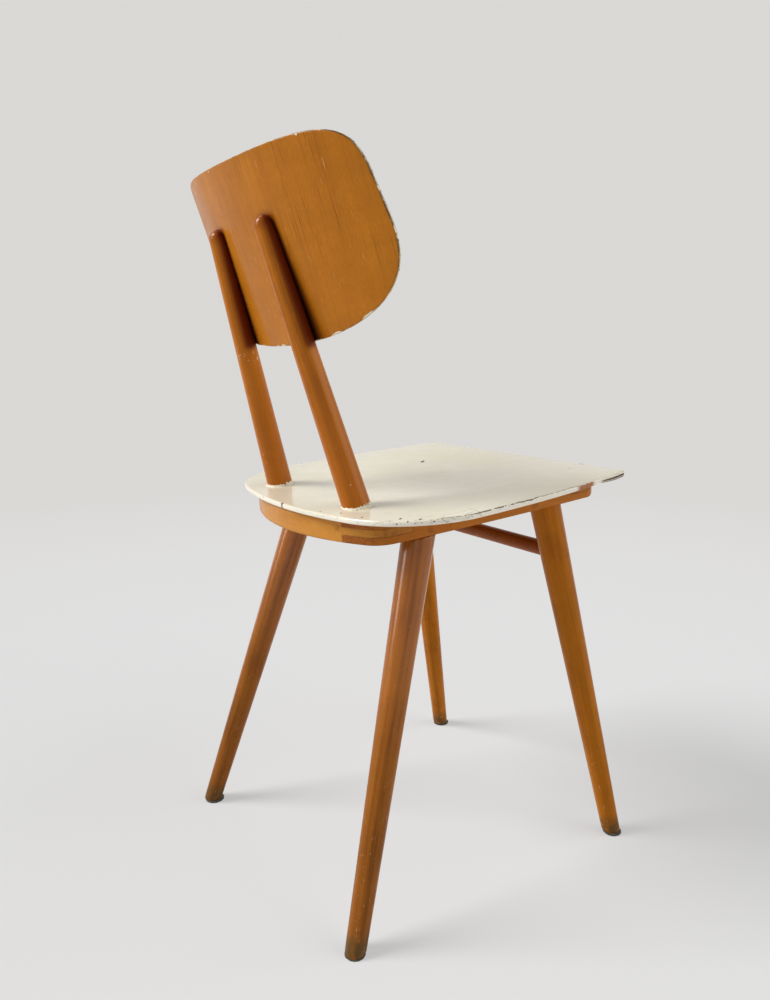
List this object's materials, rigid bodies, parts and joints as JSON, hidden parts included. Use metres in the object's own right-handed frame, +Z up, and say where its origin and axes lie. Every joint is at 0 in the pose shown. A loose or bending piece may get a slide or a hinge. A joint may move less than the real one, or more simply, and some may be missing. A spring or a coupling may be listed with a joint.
{
  "type": "side chair",
  "caption": "Side chair with a dished cream-painted plywood seat, a bent veneered backrest on leaning posts, and splayed tapered beech legs; worn, chipped paint.",
  "frame": {"origin": "on the floor, under the middle of the chair's bounding box", "axes": "+Z up; the sitter faces -Y; +X is the sitter's left"},
  "size_m": [0.407, 0.4429, 0.7914],
  "materials": {
    "cream_paint": "glossy cream paint on plywood, chipped and cracked along the edges",
    "veneer": "clear-lacquered brown veneer behind, chipped cream paint on the front and edge",
    "clear_beech": "clear-lacquered beech, darker end grain at the joints, small scratches",
    "honey_beech": "honey-brown lacquered turned beech, scuffed and dirty towards the feet",
    "screw_steel": "dull zinc-plated steel",
    "felt": "dirty dark grey-green felt"
  },
  "bodies": {
    "root": {"seat_board": "cream_paint", "side_rail_left": "clear_beech", "side_rail_right": "clear_beech", "rear_rail": "clear_beech", "front_rail": "clear_beech", "leg_rear_left": "honey_beech", "leg_rear_right": "honey_beech", "leg_front_left": "honey_beech", "leg_front_right": "honey_beech", "front_stretcher": "honey_beech", "back_post_left": "honey_beech", "back_post_right": "honey_beech", "backrest": "veneer", "back_screw_upper_left": "screw_steel", "back_screw_upper_right": "screw_steel", "back_screw_lower_left": "screw_steel", "back_screw_lower_right": "screw_steel", "felt_pad_rear_left": "felt", "felt_pad_rear_right": "felt", "felt_pad_front_left": "felt", "felt_pad_front_right": "felt"}
  },
  "joints": []
}
